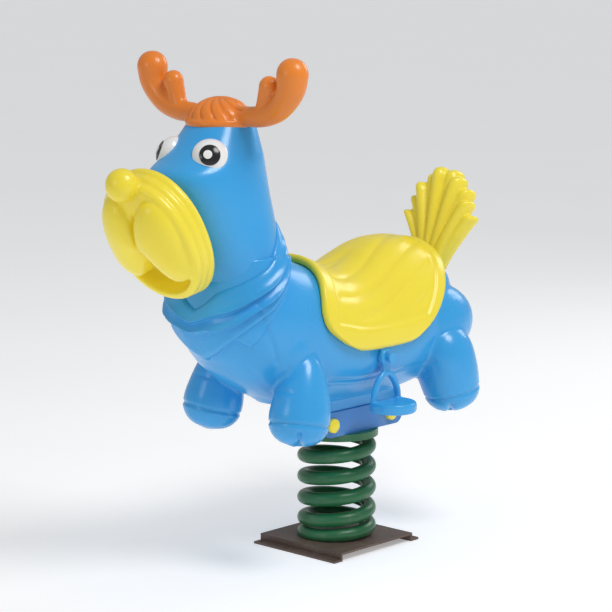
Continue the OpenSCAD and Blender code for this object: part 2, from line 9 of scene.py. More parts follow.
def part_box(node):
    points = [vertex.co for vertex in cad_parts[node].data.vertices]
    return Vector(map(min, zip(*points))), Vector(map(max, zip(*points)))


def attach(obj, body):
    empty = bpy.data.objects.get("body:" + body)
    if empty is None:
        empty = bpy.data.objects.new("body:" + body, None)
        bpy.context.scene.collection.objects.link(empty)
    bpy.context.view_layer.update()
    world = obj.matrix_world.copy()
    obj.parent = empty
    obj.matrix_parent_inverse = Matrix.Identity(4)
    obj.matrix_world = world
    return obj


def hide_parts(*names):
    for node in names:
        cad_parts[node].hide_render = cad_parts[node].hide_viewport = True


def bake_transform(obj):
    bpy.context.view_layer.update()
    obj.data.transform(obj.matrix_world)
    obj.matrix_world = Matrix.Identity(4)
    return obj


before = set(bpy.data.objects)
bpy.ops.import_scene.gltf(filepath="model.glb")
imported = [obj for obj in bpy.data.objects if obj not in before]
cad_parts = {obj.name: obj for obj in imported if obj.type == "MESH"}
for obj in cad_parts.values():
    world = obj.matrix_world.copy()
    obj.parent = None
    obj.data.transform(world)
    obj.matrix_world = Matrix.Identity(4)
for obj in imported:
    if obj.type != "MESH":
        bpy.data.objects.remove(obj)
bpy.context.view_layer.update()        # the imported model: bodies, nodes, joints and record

scene = bpy.context.scene
scene.view_settings.view_transform = "Standard"


# ---- Studio ---------------------------------------------------------------------------
# A pale floor that meets a pale sky, one large soft lamp over the camera's right shoulder,
# a weaker one on its left, and a long lens at child height.
view_turn = math.radians(42.5)
view_right = Vector((math.cos(view_turn), math.sin(view_turn), 0))
view_back = Vector((math.sin(view_turn), -math.cos(view_turn), 0))
view_distance = 4.13
eye_level = 1.135
view_spot = view_back * view_distance + Vector((0, 0, eye_level))
view_aim = view_right * -0.057 + Vector((0, 0, 0.446))


def face_towards(thing, spot, aim):
    """Put a lamp or a camera on a spot, turned to the point that it aims at."""
    thing.location = spot
    thing.rotation_euler = (aim - spot).to_track_quat("-Z", "Y").to_euler()
    scene.collection.objects.link(thing)


lens = bpy.data.cameras.new("camera")
lens.lens = 133.9
camera = bpy.data.objects.new("camera", lens)
face_towards(camera, view_spot, view_aim)
scene.camera = camera


def soft_lamp(name, spot, size, power):
    lamp = bpy.data.lights.new(name, "AREA")
    lamp.shape = "DISK"
    lamp.size = size
    lamp.energy = power
    face_towards(bpy.data.objects.new(name, lamp), spot, Vector((0, 0, 0.45)))


soft_lamp("key_lamp", view_right * 1.2 + view_back * 1.3 + Vector((0, 0, 3.0)), 1.3, 46)
soft_lamp("side_lamp", view_right * -2.4 + view_back * 1.9 + Vector((0, 0, 1.5)), 1.0, 6)
soft_lamp("rim_lamp", view_right * 1.9 - view_back * 2.0 + Vector((0, 0, 1.9)), 1.4, 14)

world = bpy.data.worlds.new("studio")
world.use_nodes = True
world.node_tree.nodes["Background"].inputs["Color"].default_value = (0.95, 0.97, 1, 1)
world.node_tree.nodes["Background"].inputs["Strength"].default_value = 0.44
scene.world = world

floor_radius = 90
sheet = bmesh.new()
bmesh.ops.create_circle(sheet, cap_ends=True, radius=floor_radius, segments=96)
floor_mesh = bpy.data.meshes.new("floor")
sheet.to_mesh(floor_mesh)
sheet.free()
floor = bpy.data.objects.new("floor", floor_mesh)
scene.collection.objects.link(floor)


class Flow:
    """A shader socket whose arithmetic adds Math nodes to its tree."""

    def __init__(self, tree, socket=None):
        self.tree = tree
        self.socket = socket

    def node(self, kind, settings, inputs, output=0):
        """Add a node: its settings first, then the values or links of its sockets."""
        made = self.tree.nodes.new(kind)
        for name, value in settings.items():
            setattr(made, name, value)
        for name, value in inputs.items():
            if isinstance(value, Flow):
                self.tree.links.new(value.socket, made.inputs[name])
            else:
                made.inputs[name].default_value = value
        return Flow(self.tree, made.outputs[output])

    def math(self, operation, first, second):
        return self.node("ShaderNodeMath", {"operation": operation}, {0: first, 1: second})

    def __add__(self, other):
        return self.math("ADD", self, other)

    __radd__ = __add__

    def __mul__(self, other):
        return self.math("MULTIPLY", self, other)

    __rmul__ = __mul__

    def __sub__(self, other):
        return self.math("SUBTRACT", self, other)

    def __rsub__(self, other):
        return self.math("SUBTRACT", other, self)

    def spread(self, low, high):
        """How far the value is between two levels, from 0 to 1."""
        return self.node("ShaderNodeMapRange", {"interpolation_type": "SMOOTHSTEP"},
                         {"Value": self, "From Min": low, "From Max": high})

    def noise(self, place, scale, detail=2, rough=0.5):
        return self.node("ShaderNodeTexNoise", {},
                         {"Vector": place, "Scale": scale, "Detail": detail, "Roughness": rough})

    def tint(self, amount, first, second):
        """Mix two colours."""
        return self.node("ShaderNodeMix", {"data_type": "RGBA"},
                         {0: amount, 6: first, 7: second}, 2)


def new_finish(name):
    """An empty material: its shader, and a Flow to build its pattern from."""
    material = bpy.data.materials.new(name)
    material.use_nodes = True
    shader = material.node_tree.nodes["Principled BSDF"]
    flow = Flow(material.node_tree)
    place = flow.node("ShaderNodeTexCoord", {}, {}, "Object")
    return material, shader, flow, place


def shade(colour, factor):
    return tuple(min(c * factor, 1) for c in colour) + (1,)


def wire_up(flow, shader, links):
    """Lead each pattern to its shader socket."""
    for name, pattern in links.items():
        flow.tree.links.new(pattern.socket, shader.inputs[name])


floor_paint, floor_shader, flow, place = new_finish("floor_paper")
paper = flow.noise(place, 1.5)
wire_up(flow, floor_shader, {"Base Color": flow.tint(paper, (0.86, 0.86, 0.87, 1),
                                                     (0.9, 0.9, 0.9, 1))})
floor_shader.inputs["Roughness"].default_value = 0.9
floor_shader.inputs["Emission Color"].default_value = (1, 1, 1, 1)
floor_shader.inputs["Emission Strength"].default_value = 0.3
floor.data.materials.append(floor_paint)


# ---- Base plate -----------------------------------------------------------------------
# A hat section folded from 4 mm steel, with two out-turned feet that are drilled for the
# ground anchors. It is powder coated dark brown; the coat is worn at the folds.
def coated_steel(name, colour, gloss, wear, bare=(0.35, 0.33, 0.31, 1)):
    """Powder coat: a fine pebbled skin, dust that dulls it, and chips down to the steel."""
    material, shader, flow, place = new_finish(name)
    cloud = flow.noise(place, 9, 4)
    pebble = flow.noise(place, 520, 2)
    chip = flow.noise(place, 75, 5, 0.65).spread(0.71, 0.74) * wear
    coat = flow.tint(cloud.spread(0.3, 0.7), shade(colour, 0.86), shade(colour, 1.12))
    dusty = flow.tint(flow.noise(place, 28, 4).spread(0.5, 0.8) * 0.12, coat,
                      (0.42, 0.38, 0.33, 1))
    bump = flow.node("ShaderNodeBump", {}, {"Strength": 0.25, "Distance": 0.0006,
                                            "Height": pebble + cloud * 0.6 - chip * 2})
    wire_up(flow, shader, {"Base Color": flow.tint(chip, dusty, bare),
                           "Roughness": gloss + cloud * 0.14 + chip * 0.2,
                           "Metallic": chip * 0.8, "Normal": bump})
    return material


def coat_node(name, material):
    """Give a carried-over CAD piece its finish."""
    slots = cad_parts[name].data.materials
    slots.clear()
    slots.append(material)


brown_coat = coated_steel("brown_coat", (0.11, 0.07, 0.053), 0.42, 0.7)
coat_node("base_plate", brown_coat)


# ---- Coil spring ----------------------------------------------------------------------
# One right-handed coil of 26 mm spring steel, its end turns closed and ground flat, coated
# green. It is drawn as four stretches of one wire.
mm = 0.001


def ring_loft(bm, stations, outline, sides):
    """Extrude a closed ring from station to station and close both ends.
    outline(station, angle) gives a point in millimetres."""
    angle_of = bm.verts.layers.float.get("angle") or bm.verts.layers.float.new("angle")
    ring = bmesh.ops.create_circle(bm, radius=1, segments=sides)["verts"]
    for vert in ring:
        vert[angle_of] = math.atan2(vert.co.y, vert.co.x)
        vert.co = outline(stations[0], vert[angle_of])
    members = set(ring)
    loop = [e for e in {e for v in ring for e in v.link_edges}
            if e.verts[0] in members and e.verts[1] in members]
    ends = list(loop)
    for station in stations[1:]:
        made = bmesh.ops.extrude_edge_only(bm, edges=loop)["geom"]
        members = {g for g in made if isinstance(g, bmesh.types.BMVert)}
        for vert in members:
            vert.co = outline(station, vert[angle_of])
        loop = [e for e in {e for v in members for e in v.link_edges}
                if e.verts[0] in members and e.verts[1] in members]
    bmesh.ops.holes_fill(bm, edges=ends + loop, sides=sides)


def follow(stations, at):
    """The smooth curve through a list of stations, each (place, value, ...)."""
    if at <= stations[0][0]:
        return stations[0][1:]
    if at >= stations[-1][0]:
        return stations[-1][1:]
    i = max(k for k in range(len(stations) - 1) if stations[k][0] <= at)
    a, b = stations[i], stations[i + 1]
    before, after = stations[max(i - 1, 0)], stations[min(i + 2, len(stations) - 1)]
    span = b[0] - a[0]
    u = (at - a[0]) / span
    values = []
    for k in range(1, len(a)):
        rise_a = (b[k] - before[k]) / (b[0] - before[0]) * span
        rise_b = (after[k] - a[k]) / (after[0] - a[0]) * span
        values.append(a[k] * (2 * u**3 - 3 * u**2 + 1) + rise_a * (u**3 - 2 * u**2 + u)
                      + b[k] * (3 * u**2 - 2 * u**3) + rise_b * (u**3 - u**2))
    return values


def step(low, high, value):
    """0 below low, 1 above high, and an S-curve between; low may be the larger."""
    u = min(max((value - low) / (high - low), 0), 1)
    return u * u * (3 - 2 * u)


def steps(first, last, count):
    return [first + (last - first) * i / (count - 1) for i in range(count)]


def finish_piece(name, bm, material, body, nodes, sharp=None):
    """Make a piece of a mesh in millimetres: metres, outward faces, finish and body."""
    bmesh.ops.scale(bm, vec=(mm, mm, mm), verts=bm.verts)
    bmesh.ops.recalc_face_normals(bm, faces=bm.faces)
    mesh = bpy.data.meshes.new(name)
    bm.to_mesh(mesh)
    bm.free()
    for face in mesh.polygons:
        face.use_smooth = True
    if sharp:
        mesh.set_sharp_from_angle(angle=math.radians(sharp))
    mesh.materials.append(material)
    piece = bpy.data.objects.new(name, mesh)
    scene.collection.objects.link(piece)
    if body:
        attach(piece, body)
    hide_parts(*nodes)
    return piece


green_coat = coated_steel("green_coat", (0.016, 0.135, 0.048), 0.26, 0.25)
coil_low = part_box("spring_lower")[0].z / mm
coil_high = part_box("spring_upper")[1].z / mm
wire_d = 26
coil_r = 60.5
coil_turns = 5.1
closed_turns = 1.6       # both ends together
ground_off = 4           # cut from the wire at each end
coil_start = math.radians(222.5)


def coil_height(turn):
    """Height of the wire's centre: one wire a turn where closed, more where open."""
    def ease(v):
        return (v + math.sqrt(v * v + 0.06)) / 2
    open_turns = coil_turns - closed_turns
    slack = coil_high - coil_low - 2 * ground_off - wire_d * coil_turns
    lift = slack / open_turns * (ease(turn - 1) - ease(turn - 1 - open_turns))
    return coil_low + ground_off + wire_d * turn + lift


def wire_outline(turn, angle):
    around = coil_start + 2 * math.pi * turn
    r = coil_r + wire_d / 2 * math.cos(angle)
    z = coil_height(turn) + wire_d / 2 * math.sin(angle)
    z = min(max(z, coil_low), coil_high)
    return Vector((r * math.cos(around), r * math.sin(around), z))


coil_stretches = [("coil_roll", 0, 1.6, "base", "coil_low", "spring_lower"),
                  ("coil_bounce", 1.6, 2.8, "coil_low", "coil_mid", "spring_middle"),
                  ("coil_pitch", 2.8, 4.1, "coil_mid", "coil_top", "spring_upper"),
                  ("coil_twist", 4.1, coil_turns, "coil_top", "rider", "spring_upper")]
for name, first, last, below, above, node in coil_stretches:
    bm = bmesh.new()
    ring_loft(bm, steps(first, last, round((last - first) * 56)), wire_outline, 28)
    wire = finish_piece(name, bm, green_coat, None, [node], 40)
    low_end = coil_height(first) + (wire_d / 2 if first else -wire_d / 2)
    high_end = coil_height(last) + (wire_d / 2 if last == coil_turns else -wire_d / 2)
    low_end * mm
    high_end * mm
    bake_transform(wire)


# ---- Top plate, channel and their fasteners -------------------------------------------
# The coil's top turn is welded to a thick round plate. A folded channel is bolted to the
# plate, and two cross bolts with snap-on yellow caps hold the body's keel in the channel.
def zinc_plate(name):
    material, shader, flow, place = new_finish(name)
    cloud = flow.noise(place, 60, 4)
    bump = flow.node("ShaderNodeBump", {}, {"Strength": 0.2, "Distance": 0.0003,
                                            "Height": flow.noise(place, 700)})
    wire_up(flow, shader, {"Base Color": flow.tint(cloud, (0.5, 0.5, 0.52, 1),
                                                   (0.66, 0.65, 0.6, 1)),
                           "Roughness": 0.28 + cloud * 0.2, "Normal": bump})
    shader.inputs["Metallic"].default_value = 1
    return material


def moulded_plastic(name, colour, deep, gloss=0.2):
    """Rotomoulded polyethylene: a slow drift of tone, pigment specks, a faint orange peel
    with pinholes, and fine scuffs that dull the gloss."""
    material, shader, flow, place = new_finish(name)
    drift = flow.noise(place, 3.2, 2).spread(0.25, 0.75)
    speck = flow.noise(place, 1400, 1).spread(0.62, 0.78)
    peel = flow.noise(place, 150, 2)
    pinhole = flow.noise(place, 430, 1).spread(0.78, 0.82)
    stretched = flow.node("ShaderNodeMapping", {}, {"Vector": place, "Scale": (60, 900, 260),
                                                    "Rotation": (0.5, 0.3, 0.8)})
    scuff = (flow.noise(stretched, 1, 3, 0.6).spread(0.64, 0.7)
             * flow.noise(place, 12, 3).spread(0.48, 0.66))
    tone = flow.tint(drift, deep + (1,), colour + (1,))
    specked = flow.tint(speck * 0.16, tone, shade(colour, 1.35))
    worn = flow.tint(scuff * 0.1, specked, (0.9, 0.92, 0.95, 1))
    bump = flow.node("ShaderNodeBump", {}, {"Strength": 0.22, "Distance": 0.0007,
                                            "Height": peel - pinhole * 0.5 - scuff * 0.15})
    wire_up(flow, shader, {"Base Color": worn, "Normal": bump,
                           "Roughness": gloss + flow.noise(place, 7, 3) * 0.12 + scuff * 0.2})
    shader.inputs["Coat Weight"].default_value = 0.15
    shader.inputs["Coat Roughness"].default_value = 0.12
    shader.inputs["Specular IOR Level"].default_value = 0.45
    return material


yellow_plastic = moulded_plastic("yellow_plastic", (0.95, 0.79, 0.055), (0.9, 0.72, 0.04), 0.24)
blue_coat = coated_steel("blue_coat", (0.04, 0.2, 0.52), 0.3, 0.2)
zinc = zinc_plate("zinc_plate")
coat_node("top_plate", green_coat)
coat_node("mount_channel", blue_coat)
coat_node("bolt_caps", yellow_plastic)
for name in ("plate_bolts", "plate_nuts", "cross_bolts", "cross_nuts", "head_screws",
             "muzzle_screws", "antler_screws", "saddle_screws", "tail_bolt",
             "stirrup_nuts"):
    coat_node(name, zinc)


# ---- Body -----------------------------------------------------------------------------
# A hollow blue moulding: barrel, chest, haunches, four stubby legs with a groove round
# each hoof, and the keel that stands in the channel.
blue_plastic = moulded_plastic("blue_plastic", (0.045, 0.39, 0.8), (0.034, 0.345, 0.75))


def lump(bm, centre, radii, turn=(0, 0, 0)):
    """Add an egg to the mesh, in millimetres."""
    at = (Matrix.Translation(centre) @ Matrix.Rotation(math.radians(turn[2]), 4, "Z")
          @ Matrix.Rotation(math.radians(turn[1]), 4, "Y")
          @ Matrix.Rotation(math.radians(turn[0]), 4, "X") @ Matrix.Diagonal((*radii, 1)))
    bmesh.ops.create_uvsphere(bm, u_segments=28, v_segments=14, radius=1, matrix=at)


def block(bm, centre, size):
    at = Matrix.Translation(centre) @ Matrix.Diagonal((*size, 1))
    bmesh.ops.create_cube(bm, size=1, matrix=at)


def melt(bm, voxel, rounds):
    """Fuse overlapping forms into one skin and relax it, as the radii of a mould do."""
    mesh = bpy.data.meshes.new("lumps")
    bm.to_mesh(mesh)
    bm.free()
    lumps = bpy.data.objects.new("lumps", mesh)
    scene.collection.objects.link(lumps)
    fuse = lumps.modifiers.new("fuse", "REMESH")
    fuse.mode = "VOXEL"
    fuse.voxel_size = voxel * 1
    relax = lumps.modifiers.new("relax", "SMOOTH")
    relax.factor = 0.5
    relax.iterations = rounds
    fused = bpy.data.meshes.new_from_object(
        lumps.evaluated_get(bpy.context.evaluated_depsgraph_get()))
    bpy.data.objects.remove(lumps)
    skin = bmesh.new()
    skin.from_mesh(fused)
    bpy.data.meshes.remove(fused)
    return skin


def carve(bm, relief):
    """Move each point along its normal by relief(point)."""
    bm.normal_update()
    moves = [vert.normal * relief(vert.co) for vert in bm.verts]
    for vert, move in zip(bm.verts, moves):
        vert.co += move


def power(value, exponent):
    return math.copysign(abs(value) ** exponent, value)


# The barrel along Y: place, belly, back, half width.
barrel = [(-352, 430, 500, 40), (-335, 402, 540, 78), (-290, 352, 562, 103),
          (-230, 316, 568, 114), (-170, 288, 556, 118), (-110, 280, 535, 119),
          (-50, 277, 517, 119),
          (40, 277, 516, 119), (120, 281, 524, 120), (180, 296, 520, 116),
          (225, 330, 500, 98), (243, 366, 470, 66), (248, 400, 440, 30)]
# The chest and collar root along Z: place, front, back, half width.
chest = [(292, -192, -120, 36), (330, -246, -120, 66), (360, -289, -130, 84),
         (392, -330, -140, 96), (425, -350, -160, 104), (470, -360, -180, 107),
         (520, -362, -186, 106), (575, -364, -196, 101)]


def barrel_outline(y, angle):
    low, top, half = follow(barrel, y)
    return Vector((half * power(math.cos(angle), 0.86), y,
                   (top + low) / 2 + (top - low) / 2 * power(math.sin(angle), 0.9)))


def chest_outline(z, angle):
    front, back, half = follow(chest, z)
    keel = 1 + 0.35 * step(440, 360, z) * (angle < 0)
    depth = (back - front) / 2
    return Vector((half * power(math.cos(angle), 1 / keel), (front + back) / 2
                   + depth * power(math.sin(angle), keel), z))


hoof_r = 54


class Leg:
    """One leg: a teardrop from the thigh to the hoof, leaning towards its toe."""

    def __init__(self, side, thigh, hoof, girth):
        self.side = side
        self.top = Vector((side * thigh[0], thigh[1], thigh[2]))
        self.foot = Vector((side * hoof[0], hoof[1], hoof[2]))
        self.down = (self.foot - self.top).normalized()
        self.girth = girth

    def outline(self, share, angle):
        """share runs from 0 at the top to 1 at the sole."""
        across = Vector((0, 1, 0)).cross(self.down).normalized()
        along = self.down.cross(across)
        reach = (self.foot - self.top).length
        r = follow(self.girth, share)[0]
        return (self.top + self.down * reach * share
                + (across * math.cos(angle) + along * math.sin(angle)) * r)

    def relief(self, point):
        """The groove round the hoof and the cleft at its toe."""
        foot = point - (self.foot - self.down * hoof_r)
        depth = foot.dot(self.down)
        if depth < -60 or foot.length > 90:
            return 0
        toe = Vector((self.side * 0.68, -0.73, 0))
        beside = foot.dot(Vector((-toe.y, toe.x, 0)))
        cleft = 0
        if foot.dot(toe) > 0:
            cleft = -8 * math.exp(-(beside / 5) ** 2) * step(24, 32, depth)
        groove = -3.4 * math.exp(-((depth - 15) / 2.6) ** 2)
        lift = 1.2 * step(-8, 8, depth - 12) * step(60, 40, depth)
        return groove + cleft + lift


teardrop = [(0, 6), (0.04, 17), (0.15, 31), (0.35, 44), (0.6, 53), (0.72, 54.5), (0.84, 50),
            (0.93, 38), (0.98, 22), (1, 8)]
thigh_drop = [(0, 20), (0.08, 40), (0.25, 55), (0.5, 58), (0.7, 55), (0.84, 49), (0.93, 37),
              (0.98, 21), (1, 8)]
legs = [Leg(side, *rest) for side in (-1, 1)
        for rest in (((98, -186, 402), (112, -226, 236), teardrop),
                     ((92, 176, 400), (112, 212, 236), thigh_drop))]


def body_relief(point):
    """Grooves and creases of the body moulding."""
    x, y, z = abs(point.x), point.y, point.z
    change = sum(leg.relief(point) for leg in legs)
    flank = 338 - 9 * step(-140, -40, y) + 8 * step(20, 140, y)
    along = step(-150, -120, y) * step(150, 118, y)
    change -= 3.5 * math.exp(-((z - flank) / 4.5) ** 2) * along * step(70, 95, x)
    change -= 3.5 * step(flank, flank - 14, z) * along * step(60, 90, x)
    if y < -150:
        panel = (z - 411) * 0.77 + (y + 340) * 0.64
        change -= 2.6 * math.exp(-(panel / 4) ** 2) * step(60, 78, x) * step(330, 345, z)
        shoulder = (z - 440) * 0.42 - (y + 284) * -0.9
        change -= 2.6 * math.exp(-(shoulder / 4.5) ** 2) * step(88, 98, x) * step(380, 395, z)
    return change


bm = bmesh.new()
ring_loft(bm, steps(barrel[0][0], barrel[-1][0], 46), barrel_outline, 72)
ring_loft(bm, steps(chest[0][0], chest[-1][0], 30), chest_outline, 72)
for leg in legs:
    ring_loft(bm, steps(0, 1, 26), leg.outline, 40)
    lump(bm, (leg.side * 62, 196, 402), (68, 92, 72))
    lump(bm, (leg.side * 34, 176, 466), (66, 74, 56))
    lump(bm, (leg.side * 70, -206, 404), (48, 66, 66))
channel_low, channel_high = (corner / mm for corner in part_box("mount_channel"))
keel_half = channel_high.x - 5   # inside the channel's 4 mm walls
keel_tall = 76
keel_setback = 26                # shorter than the channel, both ends together
block(bm, (0, (channel_low.y + channel_high.y) / 2, channel_low.z + 6 + keel_tall / 2),
      (2 * keel_half, channel_high.y - channel_low.y - keel_setback, keel_tall))
bmesh.ops.recalc_face_normals(bm, faces=bm.faces)
body_skin = melt(bm, 3.2, 7)     # voxel size, then rounds of relaxing
carve(body_skin, body_relief)
body_tree = BVHTree.FromBMesh(body_skin)
finish_piece("body_moulding", body_skin, blue_plastic, "rider", ["body_shell"])


# ---- Head -----------------------------------------------------------------------------
# A hollow blue cone that stands in the collar. It swells forward into a flat seat for the
# muzzle and is closed on top under the cap.
# Along Z: place, front, back, half width.
skull = [(500, -352, -200, 92), (540, -364, -198, 95), (572, -384, -197, 95),
         (605, -402, -200, 94), (640, -420, -204, 91), (680, -438, -212, 88),
         (708, -446, -216, 85), (726, -438, -220, 83), (745, -410, -225, 79),
         (770, -382, -232, 70), (803, -353, -241, 58)]
muzzle_root = Vector((0, -425, 625))
muzzle_tilt = math.radians(23)
muzzle_front = Vector((0, -math.cos(muzzle_tilt), -math.sin(muzzle_tilt)))
muzzle_up = Vector((0, -math.sin(muzzle_tilt), math.cos(muzzle_tilt)))


def skull_outline(z, angle):
    front, back, half = follow(skull, z)
    centre = (front + back) / 2 + 8
    reach = (front - centre) if angle < 0 else (back - centre)
    full = 0.86 if angle < 0 else 1
    point = Vector((half * power(math.cos(angle), 0.92),
                    centre + reach * power(abs(math.sin(angle)), full), z))
    past = (point - muzzle_root).dot(muzzle_front) - 1
    if past > 0:
        point -= muzzle_front * past
    return point


bm = bmesh.new()
ring_loft(bm, steps(skull[0][0], skull[-1][0], 76), skull_outline, 96)
head_skin = bm.copy()
bmesh.ops.recalc_face_normals(head_skin, faces=head_skin.faces)
head_tree = BVHTree.FromBMesh(head_skin)
head_skin.free()
finish_piece("head_moulding", bm, blue_plastic, "rider", ["head_shell"], 60)


# ---- Neckerchief ----------------------------------------------------------------------
# Part of the body moulding: a folded cloth round the root of the neck, with pleats that
# meet in a V at the front and a second flap that shows under it at each side.
# Round from the front in degrees: top edge, lower edge, lower edge of the under flap.
kerchief = [(0, 484, 390, 420), (13, 494, 398, 424), (31, 516, 412, 430), (49, 529, 434, 436),
            (58, 536, 446, 429), (66, 543, 457, 423), (73, 550, 466, 432), (84, 564, 480, 462),
            (99, 592, 507, 492), (115, 617, 548, 528), (140, 632, 578, 560),
            (180, 638, 590, 574)]


def reach_out(degrees, z):
    """Distance from the neck's axis to the outermost skin of body or head."""
    axis_y = -277 + 12 * step(500, 640, z)
    way = Vector((math.sin(math.radians(degrees)), -math.cos(math.radians(degrees)), 0))
    start = Vector((0, axis_y, z)) + way * 300
    found = [tree.ray_cast(start, -way, 300) for tree in (body_tree, head_tree)]
    nearest = min([hit[3] for hit in found if hit[0] is not None] or [220])
    return axis_y, way, 300 - nearest


tuck = 6     # how far the cloth's inner side lies under the skin


def wrap_cloth(bm, top_of, low_of, thick, relief, across=56, around=300):
    """A closed band of cloth round the neck. across runs from 0 to 1 down its outside
    and back to 2 up its inside."""
    share_of = bm.verts.layers.float.new("share")
    ring = bmesh.ops.create_circle(bm, radius=10, segments=2 * across,
                                   matrix=Matrix.Translation((100, 0, 0)))["verts"]
    for i, vert in enumerate(ring):
        vert[share_of] = 2 * i / len(ring)
    edges = list({e for v in ring for e in v.link_edges})
    bmesh.ops.spin(bm, geom=ring + edges, cent=(0, 0, 0), axis=(0, 0, 1),
                   angle=2 * math.pi, steps=around, use_merge=True)
    for vert in bm.verts:
        share = vert[share_of]
        degrees = math.degrees(math.atan2(vert.co.y, vert.co.x))
        side = abs(degrees)
        top, low = top_of(side), low_of(side)
        down = share if share <= 1 else 2 - share
        z = top + (low - top) * down
        axis_y, way, r = reach_out(degrees, z)
        edge = min(down, 1 - down) * (top - low)
        round_off = math.sqrt(max(1 - (1 - min(edge / thick, 1)) ** 2, 0))
        out = thick * round_off * (0.35 + 0.65 * down) + relief(side, down)
        if share > 1:
            out = -tuck
        vert.co = Vector((0, axis_y, z)) + way * (r + out)
        vert.co.z = z


def pleats(side, down):
    """Two lapped folds that fade towards the back."""
    lift = 0
    for line, height in ((0.22 + 0.17 * step(0, 50, side), 12),
                         (0.42 + 0.24 * step(0, 50, side), 14)):
        past = down - line
        fold = math.exp(past / 0.12) if past < 0 else math.exp(-(past / 0.025) ** 2)
        lift += height * fold * step(150, 70, side)
    return lift * step(0, 0.06, down) * step(1, 0.9, down)


def top_edge(side):
    return follow(kerchief, side)[0]


for flap, top_of, low_of, thick, relief in (
        ("kerchief", top_edge, lambda side: follow(kerchief, side)[1], 13, pleats),
        ("kerchief_under", lambda side: follow(kerchief, side)[1] + 40,
         lambda side: follow(kerchief, side)[2], 7, lambda side, down: 0)):
    bm = bmesh.new()
    wrap_cloth(bm, top_of, low_of, thick, relief)
    finish_piece(flap, bm, blue_plastic, "rider", ["body_shell"])


# ---- Muzzle ---------------------------------------------------------------------------
# A hollow yellow moulding, screwed to the head's flat seat: a thick oval with three ribs
# round its side, two full cheeks, an open mouth over a lower lip, and the nose ball.
muzzle_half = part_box("muzzle")[1].x / mm
muzzle_top = 124
muzzle_chin = 117
muzzle_side = 54
mouth_depth = 36
cheek_fullness = 25
slit_depth = 11


def muzzle_point(scale, angle, depth):
    tall = muzzle_top if angle > 0 else muzzle_chin
    across = muzzle_half * scale * power(math.cos(angle), 0.93)
    up = tall * scale * power(math.sin(angle), 0.93)
    return across, up, depth


def muzzle_depth(scale, angle):
    """How far the face stands out at a share of the way from its middle to its edge."""
    across, up, _ = muzzle_point(scale, angle, 0)
    edge = muzzle_side * (0.86 + 0.14 * math.sin(angle))
    middle = edge + 12 * (1 - scale * scale)
    mouth = step(0.94, 0.84, scale) * step(-30, -52, up)
    depth = middle - mouth_depth * mouth
    parting = 49 + 9 * step(10, -55, up)
    cheek = ((abs(across) - parting) / 49) ** 2 + ((up - 14) / 86) ** 2
    if cheek < 1:
        depth = max(depth, middle + cheek_fullness * math.sqrt(1 - cheek))
    slit = math.exp(-(across / (3.5 + 3 * step(20, -40, up))) ** 2)
    return depth - slit_depth * slit * step(78, 60, up) * step(-60, -40, up)


def muzzle_outline(station, angle):
    kind, value = station
    if kind == "side":
        depth = value * muzzle_side * (0.86 + 0.14 * math.sin(angle))
        rib = abs(math.sin(3 * math.pi * value)) ** 0.6
        scale = 0.965 - 0.06 * value + 0.04 * rib
        across, up, depth = muzzle_point(scale, angle, depth)
    elif kind == "back":
        across, up, depth = muzzle_point(value, angle, 0)
    else:
        across, up, depth = muzzle_point(0.905 * value, angle, muzzle_depth(value, angle))
    return muzzle_root + Vector((across, 0, 0)) + muzzle_up * up + muzzle_front * depth


bm = bmesh.new()
ring_loft(bm, [("back", s) for s in steps(0.1, 0.93, 6)] + [("side", s) for s in steps(0, 1, 40)]
          + [("face", s) for s in steps(0.985, 0.02, 60)], muzzle_outline, 180)
lump(bm, muzzle_root + muzzle_up * 120 + muzzle_front * 60, (29, 27.5, 29))
bmesh.ops.recalc_face_normals(bm, faces=bm.faces)
finish_piece("muzzle_moulding", melt(bm, 2.1, 4), yellow_plastic, "rider",
             ["muzzle"])


# ---- Eyes -----------------------------------------------------------------------------
# White domes that snap into the head, each with a black lens and a small white one.
def lens_gloss(name, colour, gloss):
    material, shader, flow, place = new_finish(name)
    haze = flow.noise(place, 90, 3)
    bump = flow.node("ShaderNodeBump", {}, {"Strength": 0.1, "Distance": 0.0004,
                                            "Height": flow.noise(place, 180)})
    wire_up(flow, shader, {"Base Color": flow.tint(haze, shade(colour, 0.94), shade(colour, 1)),
                           "Roughness": gloss + haze * 0.1, "Normal": bump})
    return material


eye_white = lens_gloss("eye_white", (0.88, 0.88, 0.87), 0.14)
pupil_black = lens_gloss("pupil_black", (0.012, 0.012, 0.013), 0.12)
for side in ("left", "right"):
    coat_node("eye_" + side, eye_white)
    coat_node("pupil_" + side, pupil_black)
    coat_node("glint_" + side, eye_white)


# ---- Cap and antlers ------------------------------------------------------------------
# One orange moulding on top of the head: a rolled brim, a swirled tuft and two antlers,
# each a thick curved beam with a club end and a smaller tine on its inner side.
orange_plastic = moulded_plastic("orange_plastic", (0.84, 0.25, 0.026), (0.79, 0.21, 0.02),
                                 0.26)
cap_y = -297
cap_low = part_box("antler_cap")[0].z / mm
antler_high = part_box("antler_cap")[1].z / mm
# Along an antler: distance from the middle, height, radius.
beam = [(0, 30, cap_low + 22, 17), (1, 70, cap_low + 20, 17.5), (2, 104, cap_low + 23, 19),
        (3, 134, cap_low + 34, 21), (4, 155, cap_low + 52, 23), (5, 167, cap_low + 72, 26),
        (6, 170.5, antler_high - 31, 28.5)]
tine = [(0, 100, cap_low + 24, 16), (1, 107, cap_low + 40, 16.5), (2, 112, cap_low + 58, 17),
        (3, 117, cap_low + 72, 19)]


